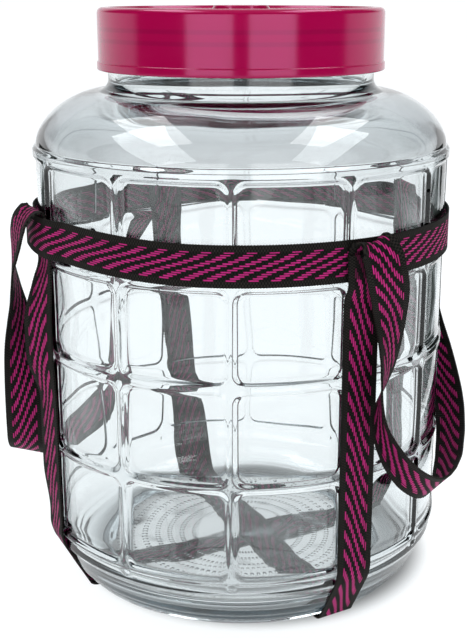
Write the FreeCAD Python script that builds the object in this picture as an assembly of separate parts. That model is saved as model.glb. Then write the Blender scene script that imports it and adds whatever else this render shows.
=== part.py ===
import FreeCAD, Part
import math
import os

# A ten-litre moulded glass jar with a screw lid, held in a webbing harness: a belt round
# the body, two long straps that cross under the base, and two loop handles that hang at
# the sides. Millimetres, +Z up, origin on the axis at the surface the harness rests on.
# Azimuths are in degrees about +Z: 0 is the front (-Y), +90 is +X.

Vec = FreeCAD.Vector

# ---- glass ----------------------------------------------------------------------------
PANEL_RADIUS = 115.5        # outside of the flat panels between the ribs
RIB_CREST = 116.9           # crest of the upright ribs
RING_CREST = 117.1          # crest of the level rings
RIB_ROUND = 3.0             # radius of an upright rib's section
RIB_COUNT = 12
RIB_TURN = -2.4             # azimuth of the first upright rib
RING_PITCH = 52.95          # between two level rings
RING_COUNT = 5
LOWEST_RING_Z = 36.2
RING_HALF = 3.4             # half of a ring's height at its foot
WALL = 5.0
BASE_INSIDE_Z = 12.0        # floor of the inside
BASE_RECESS_Z = 5.6         # underside, inside the bearing rim
BEARING_Z = 1.3             # the rim stands on the crossed straps
BEARING_OUTER = 97.0
BEARING_INNER = 87.0
BASE_CONE_TOP = (115.0, 28.5)
BASE_CONE_FOOT = (102.0, 4.2)
SHOULDER_Z = 250.0          # start of the shoulder curve
SHOULDER_RISE = 31.0
SHOULDER_POWER = 1.7        # a superellipse: 2 is an ellipse, less is flatter
NECK_RADIUS = 74.0
NECK_WALL = 4.6
MOUTH_Z = 320.6
MOUTH_ROUND = 2.0
THREAD_ROUND = 1.6
THREAD_Z = (308.6, 314.4)

# ---- lid ------------------------------------------------------------------------------
LID_BOTTOM_Z = 292.4
LID_RIM_Z = 325.5
LID_RADIUS = 79.2
LID_BAND_RADIUS = 79.9      # thin band round the lid's foot
LID_BAND_TALL = 4.5
LID_WALL = 2.3
LID_CORNER = 3.0
LID_RECESS_RADIUS = 72.0
LID_RECESS_DEEP = 1.5
LID_BOSS_RADIUS = 15.0
LID_BOSS_RISE = 1.0         # above the rim
LID_SEAT_GAP = 0.3          # between the mouth and the underside of the lid

# ---- webbing --------------------------------------------------------------------------
WEB_WIDE = 21.5
WEB_THICK = 1.2
LAYER_GAP = 0.3
HUG_GAP = 0.2               # between the ribs' crests and the first layer
BELT_Z = 206.1              # middle of the belt
BELT_LEFT_RISE = 2.6        # the belt is drawn up a little at the left junction
BELT_BULGE = 3.5            # how far it stands out over a strap and a handle's end
STRAP_TOP_Z = 216.4
FRONT_RIGHT = 30.8          # azimuths of the four upright runs at the belt
FRONT_LEFT = -64.0
BACK_RIGHT = 116.5
BACK_LEFT = 206.0
BACK_LEFT_LEAN = -8.0       # how far that run has turned by the time it reaches the base
BELT_TAIL = -80.5           # where the outer end of the belt lies
BELT_TUCK = -72.5           # where the inner end stops, beside the left strap
TAIL_LIFT = 0.6             # how much further the free end stands off
STRAP_HIDDEN_TOP_Z = 209.6  # the right front run ends under the fold of the handle
LEFT_SLACK = 5.4            # how far the left front run bows off the glass
LEFT_TURN = 26.0            # degrees that it turns where it bows furthest
LEFT_LOOSE_SHARE = 0.27     # share of both that holds all the way down
LEFT_BILLOW_Z = 150.0       # height of the billow that makes up the rest
CROSS_LIFT = 1.5            # the upper strap rises over the lower one under the base
UNDER_PRESS = 0.02          # the weight presses the underside flat by this much

LAYER_1 = RING_CREST + HUG_GAP + WEB_THICK / 2.0
LAYER_STEP = WEB_THICK + LAYER_GAP
LAYER_2 = LAYER_1 + LAYER_STEP
LAYER_3 = LAYER_2 + LAYER_STEP

# Hang of each handle, from its sewn front end round the loop to its sewn back end:
# azimuth, distance from the axis and height of the middle of the webbing, then the
# heading and the rise of the line across it, in degrees.
RIGHT_HANDLE = (
    (31.2, LAYER_2, 199.0, 121.0, 0.0),
    (31.2, LAYER_2, 206.0, 121.0, 0.0),
    (31.2, LAYER_2 + 0.1, 210.6, 121.0, 0.0),
    (31.3, 120.7, 213.8, 120.0, 0.0),
    (31.7, 122.9, 214.9, 114.0, -1.0),
    (32.5, 125.3, 213.0, 108.0, -2.0),
    (33.4, 127.6, 207.6, 104.0, -1.0),
    (34.1, 128.6, 199.6, 104.5, 0.0),
    (36.2, 126.2, 189.0, 112.0, 1.0),
    (38.2, 122.9, 176.5, 124.0, -3.0),
    (38.4, 122.6, 164.5, 137.0, -10.0),
    (37.2, 124.1, 153.5, 150.0, -18.0),
    (35.2, 126.3, 143.5, 165.0, -22.0),
    (33.4, 128.4, 132.5, 181.0, -22.0),
    (33.3, 129.9, 121.0, 192.0, -24.0),
    (35.1, 131.2, 109.2, 201.0, -30.0),
    (38.2, 133.0, 97.0, 206.0, -38.0),
    (42.5, 134.4, 86.4, 205.0, -45.0),
    (47.8, 134.4, 78.8, 195.0, -46.0),
    (53.4, 132.8, 74.8, 187.0, -38.0),
    (59.5, 130.4, 73.8, 186.0, -25.0),
    (66.0, 128.0, 75.5, 190.0, -14.0),
    (73.0, 126.2, 79.2, 193.0, -8.0),
    (80.0, 125.5, 85.0, 198.0, -3.0),
    (87.0, 125.4, 93.5, 204.0, 0.0),
    (94.4, 125.0, 104.5, 210.0, 2.0),
    (101.4, 124.7, 118.0, 214.0, 4.0),
    (107.6, 124.4, 133.0, 215.0, 5.0),
    (112.4, 124.6, 149.0, 216.0, 5.0),
    (115.4, 124.6, 165.0, 213.0, 4.0),
    (116.6, 124.6, 181.0, 210.0, 3.0),
    (116.8, 124.9, 195.5, 208.5, 2.0),
    (116.7, 125.3, 207.5, 207.2, 1.0),
    (116.2, 125.2, 215.0, 206.7, 0.5),
    (116.3, 123.6, 219.6, 206.5, 0.0),
    (116.4, 121.2, 219.6, 206.5, 0.0),
    (116.5, LAYER_2 + 0.1, 215.4, 206.5, 0.0),
    (116.5, LAYER_2, 208.5, 206.5, 0.0),
    (116.5, LAYER_2, 199.0, 206.5, 0.0),
)
LEFT_HANDLE = (
    (-64.0, LAYER_2, 199.0, 26.0, 0.0),
    (-64.0, LAYER_2, 207.0, 26.0, 0.0),
    (-64.0, LAYER_2, 214.5, 26.0, 0.0),
    (-64.0, LAYER_2 + 0.2, 219.2, 26.0, 0.0),
    (-64.0, 120.9, 221.7, 26.0, 0.0),
    (-64.0, 123.2, 222.1, 26.0, -1.0),
    (-64.3, 125.7, 220.9, 25.8, -3.0),
    (-65.2, 127.9, 218.0, 25.4, -5.0),
    (-67.4, 129.6, 212.2, 24.5, -6.0),
    (-71.0, 130.4, 204.0, 21.5, -4.0),
    (-74.6, 130.9, 195.0, 16.0, 1.0),
    (-76.8, 131.2, 185.5, 8.0, 5.0),
    (-77.2, 130.4, 175.5, -1.0, 8.0),
    (-76.6, 129.4, 165.0, -13.0, 10.0),
    (-75.9, 129.3, 153.5, -28.0, 10.0),
    (-75.4, 129.6, 140.0, -43.0, 7.0),
    (-76.4, 129.2, 123.3, -57.0, 6.0),
    (-78.3, 129.0, 106.0, -70.0, 5.0),
    (-80.8, 129.2, 88.0, -81.0, 4.0),
    (-84.8, 129.8, 72.5, -89.0, 6.0),
    (-91.0, 130.4, 62.5, -94.0, 9.0),
    (-98.0, 130.7, 57.4, -97.0, 15.0),
    (-105.0, 130.5, 55.2, -99.0, 22.0),
    (-112.0, 130.2, 54.6, -101.0, 29.0),
    (-118.8, 129.9, 56.4, -103.0, 34.0),
    (-125.2, 129.7, 61.2, -107.0, 35.0),
    (-130.2, 129.6, 69.2, -115.0, 31.0),
    (-133.8, 129.6, 80.5, -129.0, 21.0),
    (-135.6, 129.6, 94.0, -147.0, 7.0),
    (-136.6, 129.8, 108.5, -163.0, -5.0),
    (-137.6, 130.4, 124.0, -174.0, -12.0),
    (-139.2, 131.2, 140.0, -182.0, -14.0),
    (-141.6, 131.9, 156.5, -190.0, -13.0),
    (-144.8, 132.0, 173.5, -201.0, -10.0),
    (-148.4, 131.0, 190.0, -217.0, -6.0),
    (-151.6, 129.2, 204.0, -232.0, -3.0),
    (-153.2, 127.4, 213.5, -241.0, -1.0),
    (-153.8, 125.0, 218.8, -243.5, 0.0),
    (-153.9, 122.8, 220.2, -244.0, 0.0),
    (-154.0, 120.6, 218.6, -244.0, 0.0),
    (-154.0, LAYER_2 + 0.1, 214.6, -244.0, 0.0),
    (-154.0, LAYER_2, 208.0, -244.0, 0.0),
    (-154.0, LAYER_2, 199.0, -244.0, 0.0),
)


# ---- helpers --------------------------------------------------------------------------
def polar(azimuth, radius, height):
    """Point at an azimuth, a distance from the axis and a height."""
    turn = math.radians(azimuth)
    return Vec(radius * math.sin(turn), -radius * math.cos(turn), height)


def heading(azimuth, rise=0.0):
    """Unit vector that points along an azimuth and rises by some degrees."""
    lift = math.radians(rise)
    flat = polar(azimuth, math.cos(lift), 0.0)
    return Vec(flat.x, flat.y, math.sin(lift))


def smooth(value):
    """Ease from 0 to 1 with level ends."""
    value = min(1.0, max(0.0, value))
    return value * value * (3.0 - 2.0 * value)


def bump(position, middle, flat_half, ramp):
    """1 within flat_half of the middle, easing to 0 over the ramp beyond it."""
    return 1.0 - smooth((abs(position - middle) - flat_half) / ramp)


def spin(points_and_curves):
    """Solid turned about Z from a closed profile of edges in the XZ plane."""
    wire = Part.Wire(Part.__sortEdges__(points_and_curves))
    return Part.Face(wire).revolve(Vec(0, 0, 0), Vec(0, 0, 1), 360.0)


def rz(radius, height):
    return Vec(radius, 0.0, height)


def line(start, end):
    return Part.LineSegment(rz(*start), rz(*end)).toShape()


def arc(start, middle, end):
    return Part.Arc(rz(*start), rz(*middle), rz(*end)).toShape()


def curve(points):
    spline = Part.BSplineCurve()
    spline.interpolate([rz(*p) for p in points])
    return spline.toShape()


def superellipse(inner_radius, outer_radius, low, high, power, steps=14):
    """Points of a quarter superellipse, from the wall up to the neck."""
    points = []
    for i in range(steps + 1):
        turn = 0.5 * math.pi * i / steps
        out = math.cos(turn) ** (2.0 / power)
        up = math.sin(turn) ** (2.0 / power)
        points.append((inner_radius + (outer_radius - inner_radius) * out, low + (high - low) * up))
    return points


# ---- glass jar ------------------------------------------------------------------------
def ring_heights():
    return [LOWEST_RING_Z + RING_PITCH * i for i in range(RING_COUNT)]


def jar_outside():
    """Edges of the outer profile, from the middle of the underside up to the mouth."""
    edges = []
    edges.append(line((0.0, BASE_RECESS_Z), (BEARING_INNER - 4.0, BASE_RECESS_Z)))
    edges.append(line((BEARING_INNER - 4.0, BASE_RECESS_Z), (BEARING_INNER, BEARING_Z)))
    edges.append(line((BEARING_INNER, BEARING_Z), (BEARING_OUTER, BEARING_Z)))
    edges.append(arc((BEARING_OUTER, BEARING_Z), (100.0, 2.1), BASE_CONE_FOOT))
    edges.append(line(BASE_CONE_FOOT, BASE_CONE_TOP))
    at = (PANEL_RADIUS, LOWEST_RING_Z - RING_HALF)
    edges.append(line(BASE_CONE_TOP, at))
    for height in ring_heights():
        foot = (PANEL_RADIUS, height - RING_HALF)
        top = (PANEL_RADIUS, height + RING_HALF)
        if at != foot:
            edges.append(line(at, foot))
        if height == ring_heights()[-1]:
            top = (PANEL_RADIUS - 0.4, height + RING_HALF)
        edges.append(arc(foot, (RING_CREST, height), top))
        at = top
    shoulder = superellipse(NECK_RADIUS + 2.0, at[0], at[1], SHOULDER_Z + SHOULDER_RISE,
                            SHOULDER_POWER)
    edges.append(curve(shoulder))
    at = shoulder[-1]
    edges.append(arc(at, (NECK_RADIUS + 0.6, at[1] + 0.8), (NECK_RADIUS, at[1] + 2.4)))
    at = (NECK_RADIUS, at[1] + 2.4)
    for height in THREAD_Z:
        edges.append(line(at, (NECK_RADIUS, height - THREAD_ROUND)))
        edges.append(arc((NECK_RADIUS, height - THREAD_ROUND),
                         (NECK_RADIUS + THREAD_ROUND, height),
                         (NECK_RADIUS, height + THREAD_ROUND)))
        at = (NECK_RADIUS, height + THREAD_ROUND)
    edges.append(line(at, (NECK_RADIUS, MOUTH_Z - MOUTH_ROUND)))
    return edges


def jar_inside():
    """Edges of the inner profile, from the mouth down to the middle of the floor."""
    wall = PANEL_RADIUS - WALL
    bore = NECK_RADIUS - NECK_WALL
    turn = MOUTH_ROUND * (1.0 - math.sqrt(0.5))
    mid = 0.5 * (bore + NECK_RADIUS)
    edges = []
    edges.append(arc((NECK_RADIUS, MOUTH_Z - MOUTH_ROUND),
                     (NECK_RADIUS - turn, MOUTH_Z - turn), (NECK_RADIUS - MOUTH_ROUND, MOUTH_Z)))
    edges.append(line((NECK_RADIUS - MOUTH_ROUND, MOUTH_Z), (bore + MOUTH_ROUND, MOUTH_Z)))
    edges.append(arc((bore + MOUTH_ROUND, MOUTH_Z), (bore + turn, MOUTH_Z - turn),
                     (bore, MOUTH_Z - MOUTH_ROUND)))
    low = SHOULDER_Z - 5.0
    high = SHOULDER_Z + SHOULDER_RISE - 4.5
    shoulder = superellipse(bore, wall, low, high, SHOULDER_POWER)
    edges.append(line((bore, MOUTH_Z - MOUTH_ROUND), shoulder[-1]))
    edges.append(curve(list(reversed(shoulder))))
    edges.append(line(shoulder[0], (wall, 40.0)))
    edges.append(curve([(wall, 40.0), (109.2, 28.5), (103.6, 18.4), (94.5, 13.2),
                        (84.0, BASE_INSIDE_Z)]))
    edges.append(line((84.0, BASE_INSIDE_Z), (0.0, BASE_INSIDE_Z)))
    edges.append(line((0.0, BASE_INSIDE_Z), (0.0, BASE_RECESS_Z)))
    return edges


def jar():
    glass = spin(jar_outside() + jar_inside())
    tall = RING_PITCH * (RING_COUNT - 1)
    ribs = []
    for i in range(RIB_COUNT):
        foot = polar(RIB_TURN + 360.0 * i / RIB_COUNT, RIB_CREST - RIB_ROUND, LOWEST_RING_Z)
        ribs.append(Part.makeCylinder(RIB_ROUND, tall, foot, Vec(0, 0, 1)))
    return glass.fuse(ribs).removeSplitter()


# ---- lid ------------------------------------------------------------------------------
def lid():
    under = MOUTH_Z + LID_SEAT_GAP
    recess = LID_RIM_Z - LID_RECESS_DEEP
    boss = LID_RIM_Z + LID_BOSS_RISE
    inner = LID_RADIUS - LID_WALL
    band_top = LID_BOTTOM_Z + LID_BAND_TALL
    turn = LID_CORNER * (1.0 - math.sqrt(0.5))
    edges = []
    edges.append(line((0.0, under), (inner, under)))
    edges.append(line((inner, under), (inner, LID_BOTTOM_Z)))
    edges.append(line((inner, LID_BOTTOM_Z), (LID_BAND_RADIUS, LID_BOTTOM_Z)))
    edges.append(line((LID_BAND_RADIUS, LID_BOTTOM_Z), (LID_BAND_RADIUS, band_top)))
    edges.append(line((LID_BAND_RADIUS, band_top), (LID_RADIUS, band_top + 0.5)))
    edges.append(line((LID_RADIUS, band_top + 0.5), (LID_RADIUS, LID_RIM_Z - LID_CORNER)))
    edges.append(arc((LID_RADIUS, LID_RIM_Z - LID_CORNER), (LID_RADIUS - turn, LID_RIM_Z - turn),
                     (LID_RADIUS - LID_CORNER, LID_RIM_Z)))
    edges.append(line((LID_RADIUS - LID_CORNER, LID_RIM_Z), (LID_RECESS_RADIUS + 1.0, LID_RIM_Z)))
    edges.append(line((LID_RECESS_RADIUS + 1.0, LID_RIM_Z), (LID_RECESS_RADIUS, recess)))
    edges.append(line((LID_RECESS_RADIUS, recess), (LID_BOSS_RADIUS + 1.0, recess)))
    edges.append(line((LID_BOSS_RADIUS + 1.0, recess), (LID_BOSS_RADIUS, boss)))
    edges.append(line((LID_BOSS_RADIUS, boss), (0.0, boss)))
    edges.append(line((0.0, boss), (0.0, under)))
    return spin(edges)


# ---- webbing --------------------------------------------------------------------------
def ruled_strips(near, far, params, stride=8):
    """Faces of straight lines between two splines that share their parameters."""
    wide = near[0].distanceToPoint(far[0])
    splines = []
    for row in (near, far):
        spline = Part.BSplineCurve()
        spline.interpolate(Points=row, Parameters=params)
        splines.append(spline)
    poles = [[a, b] for a, b in zip(splines[0].getPoles(), splines[1].getPoles())]
    stops = params[0:-stride // 2:stride] + [params[-1]]
    faces = []
    for start, stop in zip(stops, stops[1:]):
        surface = Part.BSplineSurface()
        surface.buildFromPolesMultsKnots(poles, splines[0].getMultiplicities(), (2, 2),
                                         splines[0].getKnots(), (0.0, wide), False, False,
                                         splines[0].Degree, 1)
        surface.segment(start, stop, 0.0, wide)
        faces.append(surface.toShape())
    return faces


def band(middles, across):
    """Flat webbing along a row of middle points, with the line across it at each point."""
    count = len(middles)
    params = [0.0]
    for a, b in zip(middles, middles[1:]):
        params.append(params[-1] + a.distanceToPoint(b))
    rows = [[], [], [], []]
    for i in range(count):
        along = middles[min(i + 1, count - 1)] - middles[max(i - 1, 0)]
        along.normalize()
        wide = across[i] - along * across[i].dot(along)
        wide.normalize()
        face = wide.cross(along)
        wide = wide * (WEB_WIDE / 2.0)
        face = face * (WEB_THICK / 2.0)
        for row, corner in zip(rows, (-wide - face, wide - face, wide + face, -wide + face)):
            row.append(middles[i] + corner)
    sides = []
    for k in range(4):
        sides.extend(ruled_strips(rows[k], rows[(k + 1) % 4], params))
    for end in (0, -1):
        corners = [row[end] for row in rows]
        sides.append(Part.Face(Part.makePolygon(corners + [corners[0]])))
    shell = Part.makeShell(sides)
    shell.sewShape()
    solid = Part.makeSolid(shell)
    if solid.Volume < 0:
        solid.reverse()
    length = params[-1]
    print("webbing length %.1f mm, volume ratio %.4f, valid %s"
          % (length, solid.Volume / (length * WEB_WIDE * WEB_THICK), solid.isValid()))
    return solid


def through(values, params, per_piece=4):
    """Vectors interpolated by cubic Hermite pieces, with the same count in each piece."""
    last = len(values) - 1
    slopes = []
    for i in range(last + 1):
        before = max(i - 1, 0)
        after = min(i + 1, last)
        slopes.append((values[after] - values[before]) * (1.0 / (params[after] - params[before])))
    found = []
    for piece in range(last):
        span = params[piece + 1] - params[piece]
        for k in range(per_piece):
            t = k / float(per_piece)
            found.append(values[piece] * ((1.0 + 2.0 * t) * (1.0 - t) ** 2)
                         + slopes[piece] * (span * t * (1.0 - t) ** 2)
                         + values[piece + 1] * (t * t * (3.0 - 2.0 * t))
                         + slopes[piece + 1] * (span * t * t * (t - 1.0)))
    found.append(values[last])
    return found


def handle(stations):
    middles = [polar(s[0], s[1], s[2]) for s in stations]
    across = [heading(s[3], s[4]) for s in stations]
    params = [0.0]
    for a, b in zip(middles, middles[1:]):
        params.append(params[-1] + a.distanceToPoint(b))
    return band(through(middles, params), through(across, params))


def belt_radius(azimuth):
    """The belt hugs the ribs, and stands out over a strap and a handle's sewn end."""
    lift = 0.0
    for middle in (BACK_RIGHT, BACK_LEFT):
        lift = max(lift, bump(azimuth, middle, 6.6, 7.0))
    if azimuth < 0.0:
        lift = max(lift, smooth((FRONT_LEFT + 13.6 - azimuth) / 7.0))
    tail = TAIL_LIFT * smooth((-73.0 - azimuth) / 7.5)
    return LAYER_1 + BELT_BULGE * lift + tail


def belt_height(azimuth):
    nearest = min(abs(azimuth + 66.0), abs(azimuth - 294.0))
    return BELT_Z + BELT_LEFT_RISE * bump(nearest, 0.0, 12.0, 45.0)


def belt(step=1.5):
    """One strip: from its free end at the left, once round the front, to its tucked end."""
    count = int(round((360.0 + BELT_TUCK - BELT_TAIL) / step))
    middles = []
    across = []
    for i in range(count + 1):
        azimuth = BELT_TAIL + (360.0 + BELT_TUCK - BELT_TAIL) * i / count
        middles.append(polar(azimuth, belt_radius(azimuth), belt_height(azimuth)))
        across.append(Vec(0, 0, 1))
    return band(middles, across)


def taut(height):
    return 0.0


def left_bow(height):
    """How far the left strap gives way at a height, from 0 to 1."""
    loose = smooth((BELT_Z - 13.0 - height) / 12.0) * smooth((height - 44.0) / 30.0)
    billow = bump(height, LEFT_BILLOW_Z, 8.0, 30.0)
    return LEFT_LOOSE_SHARE * loose + (1.0 - LEFT_LOOSE_SHARE) * billow


def run_down(radius_at_belt, azimuth, top=STRAP_TOP_Z, lean=0.0, slack=0.0, bow=taut):
    """Middle line of one upright run, from its top down to the rim of the base."""
    places = []
    height = top
    while height > 44.0:
        radius = LAYER_1
        over = bump(height, BELT_Z, 12.4, 9.0)
        radius += (radius_at_belt - LAYER_1) * over
        radius += slack * bow(height)
        places.append((radius, height))
        height -= 4.0
    off = WEB_THICK / 2.0 + LAYER_GAP
    slope = math.atan2(BASE_CONE_TOP[1] - BASE_CONE_FOOT[1], BASE_CONE_TOP[0] - BASE_CONE_FOOT[0])
    out = (off * math.sin(slope), -off * math.cos(slope))
    top = (BASE_CONE_TOP[0] + out[0], BASE_CONE_TOP[1] + out[1])
    foot = (BASE_CONE_FOOT[0] + out[0], BASE_CONE_FOOT[1] + out[1])
    places.append((LAYER_1 + 0.1, 40.0))
    places.append((LAYER_1 + 0.1, 36.4))
    places.append((LAYER_1 - 0.6, 32.6))
    for i in range(7):
        part = i / 6.0
        places.append((top[0] + (foot[0] - top[0]) * part, top[1] + (foot[1] - top[1]) * part))
    places.append((101.8, 2.1))
    places.append((100.4, 1.15))
    places.append((98.6, WEB_THICK / 2.0 + 0.08))
    for i in range(3):
        places.append((96.4 - 2.6 * i, WEB_THICK / 2.0 - UNDER_PRESS))
    points = []
    for radius, height in places:
        turned = azimuth + lean * smooth((STRAP_TOP_Z - height) / STRAP_TOP_Z)
        points.append(polar(turned, radius, height))
    return points


def base_strap(front, back, cross_lift, turn=0.0, bow=taut):
    """Down one side, flat under the base, and up the other side."""
    start = front[-1]
    end = back[-1]
    under = []
    for i in range(1, 24):
        part = i / 24.0
        point = start + (end - start) * part
        lift = cross_lift * bump(part, 0.5, 0.07, 0.12)
        under.append(Vec(point.x, point.y, WEB_THICK / 2.0 - UNDER_PRESS + lift))
    middles = front + under + list(reversed(back))
    across = []
    chord = end - start
    level = Vec(0, 0, 1).cross(chord)
    level.normalize()
    for i, point in enumerate(middles):
        flat = Vec(point.x, point.y, 0.0)
        side = Vec(0, 0, 1).cross(flat)
        if side.Length > 1e-6:
            side.normalize()
        if side.dot(level) < 0.0:
            side = side * -1.0
        blend = smooth((flat.Length - 60.0) / 38.0)
        wide = level * (1.0 - blend) + side * blend
        wide.normalize()
        if i < len(front):
            wide = FreeCAD.Rotation(Vec(0, 0, 1), turn * bow(point.z)).multVec(wide)
        across.append(wide)
    return band(middles, across).cut(Part.makeBox(300.0, 300.0, 5.0, Vec(-150.0, -150.0, -5.0)))


def strap_a():
    front = run_down(LAYER_1, FRONT_LEFT, slack=LEFT_SLACK, bow=left_bow)
    back = run_down(LAYER_1, BACK_RIGHT)
    return base_strap(front, back, 0.0, turn=LEFT_TURN, bow=left_bow)


def strap_b():
    front = run_down(LAYER_3 + 0.2, FRONT_RIGHT, top=STRAP_HIDDEN_TOP_Z)
    back = run_down(LAYER_1, BACK_LEFT, lean=BACK_LEFT_LEAN)
    return base_strap(front, back, CROSS_LIFT)


NODES = {
    "glass_jar": jar,
    "screw_lid": lid,
    "belt": belt,
    "base_strap_a": strap_a,
    "base_strap_b": strap_b,
    "handle_right": lambda: handle(RIGHT_HANDLE),
    "handle_left": lambda: handle(LEFT_HANDLE),
}

os.makedirs("parts", exist_ok=True)
for name, build in NODES.items():
    shape = build()
    shape.exportStep("parts/%s.step" % name)
    print(name, "solids", len(shape.Solids), "valid", shape.isValid(),
          "volume %.1f cm3" % (shape.Volume / 1000.0))
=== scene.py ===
import logging
import math
from contextlib import contextmanager
from dataclasses import dataclass, field
from enum import Enum
from typing import Iterator, Sequence

import bmesh
import bpy
import numpy as np
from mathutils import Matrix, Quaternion, Vector, noise


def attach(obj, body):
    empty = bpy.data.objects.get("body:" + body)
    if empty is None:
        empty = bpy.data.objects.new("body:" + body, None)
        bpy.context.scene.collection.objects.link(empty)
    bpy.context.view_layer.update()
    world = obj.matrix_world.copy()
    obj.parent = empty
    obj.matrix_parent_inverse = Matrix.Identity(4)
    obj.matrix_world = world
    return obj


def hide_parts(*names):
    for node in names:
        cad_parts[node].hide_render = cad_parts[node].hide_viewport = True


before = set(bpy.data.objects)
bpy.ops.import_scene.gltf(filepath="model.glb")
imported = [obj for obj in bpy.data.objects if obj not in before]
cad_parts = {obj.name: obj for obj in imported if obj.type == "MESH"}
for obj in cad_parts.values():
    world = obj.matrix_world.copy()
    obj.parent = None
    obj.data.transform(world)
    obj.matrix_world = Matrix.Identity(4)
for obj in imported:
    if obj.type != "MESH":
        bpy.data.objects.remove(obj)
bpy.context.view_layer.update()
LOG = logging.getLogger("jar")

Piece = bpy.types.Object
Material = bpy.types.Material
Socket = bpy.types.NodeSocket
Source = Socket | float | tuple
Pair = tuple[float, float]
Profile = list[Pair]
Colour = tuple[float, float, float, float]


# ---- measures and small sums ------------------------------------------------------------
def polar(azimuth: float, radius: float, height: float) -> Vector:
    """Point at an azimuth from the front, a distance from the axis and a height.

    Args:
        azimuth: degrees about +Z, 0 at the front and 90 at +X.
        radius: distance from the axis, in metres.
        height: metres above the floor.

    Returns:
        The point.
    """
    turn = math.radians(azimuth)
    return Vector((radius * math.sin(turn), -radius * math.cos(turn), height))


def heading(azimuth: float, rise: float = 0.0) -> Vector:
    """Unit vector along an azimuth that rises by some degrees.

    Args:
        azimuth: degrees about +Z.
        rise: degrees above level.

    Returns:
        The unit vector.
    """
    flat = polar(azimuth, math.cos(math.radians(rise)), 0.0)
    return Vector((flat.x, flat.y, math.sin(math.radians(rise))))


def smooth(value: float) -> float:
    """Ease from 0 to 1 with level ends."""
    value = min(1.0, max(0.0, value))
    return value * value * (3.0 - 2.0 * value)


def smooth_all(values: np.ndarray) -> np.ndarray:
    """The same ease, for a whole array."""
    values = np.clip(values, 0.0, 1.0)
    return values * values * (3.0 - 2.0 * values)


def bump(position: float, middle: float, flat_half: float, ramp: float) -> float:
    """1 near the middle, easing to 0 further out.

    Args:
        position: where it is read.
        middle: centre of the flat top.
        flat_half: half the width of the flat top.
        ramp: width of each flank.

    Returns:
        A number from 0 to 1.
    """
    return 1.0 - smooth((abs(position - middle) - flat_half) / ramp)


def superellipse(inner: float, outer: float, low: float, high: float, power: float,
                 steps: int) -> Profile:
    """Quarter superellipse from a wall up to a neck.

    Args:
        inner: radius where it ends, at the neck.
        outer: radius where it starts, at the wall.
        low: height of its start.
        high: height of its end.
        power: 2 is an ellipse, and less is flatter.
        steps: how many pieces it has.

    Returns:
        (radius, height) pairs.
    """
    points = []
    for i in range(steps + 1):
        turn = 0.5 * math.pi * i / steps
        out = math.cos(turn) ** (2.0 / power) if i < steps else 0.0
        up = math.sin(turn) ** (2.0 / power)
        points.append((inner + (outer - inner) * out, low + (high - low) * up))
    return points


def arc(middle: Pair, radius: float, start: float, stop: float, steps: int) -> Profile:
    """Points of a circular arc in the (radius, height) plane.

    Args:
        middle: centre of the arc.
        radius: its radius.
        start: first angle in degrees, 0 outwards and 90 upwards.
        stop: last angle in degrees.
        steps: how many pieces it has.

    Returns:
        (radius, height) pairs.
    """
    points = []
    for i in range(steps + 1):
        turn = math.radians(start + (stop - start) * i / steps)
        points.append((middle[0] + radius * math.cos(turn), middle[1] + radius * math.sin(turn)))
    return points


# ---- bench: the hand tools --------------------------------------------------------------
def put_down() -> None:
    """Leave edit mode and deselect everything."""
    if bpy.context.object and bpy.context.object.mode != "OBJECT":
        bpy.ops.object.mode_set(mode="OBJECT")
    bpy.ops.object.select_all(action="DESELECT")


def pick_up(*pieces: Piece) -> None:
    """Select these objects and make the first one active."""
    put_down()
    for piece in pieces:
        piece.select_set(True)
    bpy.context.view_layer.objects.active = pieces[0]


@contextmanager
def editing(piece: Piece) -> Iterator[None]:
    """Edit mode on one object, with all of it selected."""
    pick_up(piece)
    bpy.ops.object.mode_set(mode="EDIT")
    bpy.ops.mesh.select_all(action="SELECT")
    try:
        yield
    finally:
        bpy.ops.object.mode_set(mode="OBJECT")


def settle(piece: Piece) -> Piece:
    """Put a piece's place into its mesh, so that the object sits at the origin."""
    pick_up(piece)
    bpy.ops.object.transform_apply(location=True, rotation=True, scale=True)
    return piece


def apply_all(piece: Piece) -> Piece:
    """Apply every modifier of a piece, in order."""
    pick_up(piece)
    for modifier in list(piece.modifiers):
        bpy.ops.object.modifier_apply(modifier=modifier.name)
    return piece


def read_points(piece: Piece) -> np.ndarray:
    """Vertex places of a piece, one row each."""
    found = np.empty(len(piece.data.vertices) * 3)
    piece.data.vertices.foreach_get("co", found)
    return found.reshape(-1, 3)


def write_points(piece: Piece, places: np.ndarray) -> None:
    """Put the vertices of a piece at new places."""
    piece.data.vertices.foreach_set("co", places.ravel())
    piece.data.update()


def round_places(piece: Piece) -> tuple[np.ndarray, ...]:
    """Vertex places of a piece, then their azimuths, radii and heights."""
    places = read_points(piece)
    azimuth = np.degrees(np.arctan2(places[:, 0], -places[:, 1]))
    return places, azimuth, np.hypot(places[:, 0], places[:, 1]), places[:, 2]


def move_out(places: np.ndarray, radius: np.ndarray, grown: np.ndarray) -> None:
    """Move places out from the axis to new radii; those on the axis stay."""
    scale = np.where(radius > 0.01, grown / np.maximum(radius, 0.01), 1.0)
    places[:, 0] *= scale
    places[:, 1] *= scale


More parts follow.
